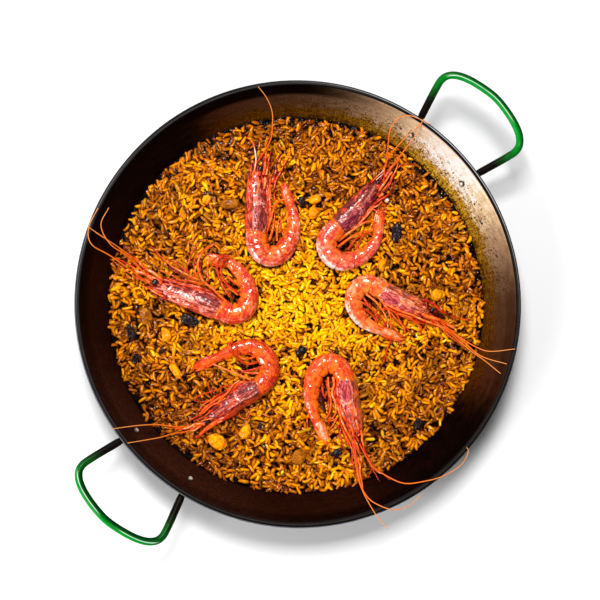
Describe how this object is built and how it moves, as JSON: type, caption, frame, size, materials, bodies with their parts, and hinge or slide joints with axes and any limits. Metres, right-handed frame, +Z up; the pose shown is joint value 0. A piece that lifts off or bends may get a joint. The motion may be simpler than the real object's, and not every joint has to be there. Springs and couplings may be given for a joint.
{
  "type": "pan of prawn rice",
  "caption": "Wide shallow steel pan with two green loop handles, filled with golden rice, with whole curled prawns, squid chunks and dark scraps lying on it.",
  "frame": {"origin": "centre of the pan's flat bottom, on the surface that it stands on", "axes": "+Z up; the handles lie along X; +Y follows by the right hand"},
  "size_m": [0.5195, 0.4042, 0.0555],
  "materials": {
    "pan_steel": "dark seasoned steel, semi-gloss, paler and scoured on one side",
    "green_coating": "glossy green coating that turns black near the pan",
    "rivet_steel": "plain rivet steel",
    "rice": "oily golden rice, browner at the edge",
    "prawn_shell": "glossy red-orange shell with maroon gill covers and pale highlights",
    "squid": "wet yellow-orange flesh",
    "dark_scrap": "near-black wet scraps"
  },
  "bodies": {
    "root": {"pan": "pan_steel", "handle_1": "green_coating", "handle_2": "green_coating", "rivet_1": "rivet_steel", "rivet_2": "rivet_steel", "rivet_3": "rivet_steel", "rivet_4": "rivet_steel", "rice": "rice", "prawn_1": "prawn_shell", "prawn_2": "prawn_shell", "prawn_3": "prawn_shell", "prawn_4": "prawn_shell", "prawn_5": "prawn_shell", "prawn_6": "prawn_shell", "squid_1": "squid", "squid_2": "squid", "squid_3": "squid", "squid_4": "squid", "squid_5": "squid", "squid_6": "squid", "squid_7": "squid", "squid_8": "squid", "squid_9": "squid", "squid_10": "squid", "squid_11": "squid", "squid_12": "squid", "scrap_1": "dark_scrap", "scrap_2": "dark_scrap", "scrap_3": "dark_scrap", "scrap_4": "dark_scrap", "scrap_5": "dark_scrap", "scrap_6": "dark_scrap", "scrap_7": "dark_scrap", "scrap_8": "dark_scrap"}
  },
  "joints": []
}
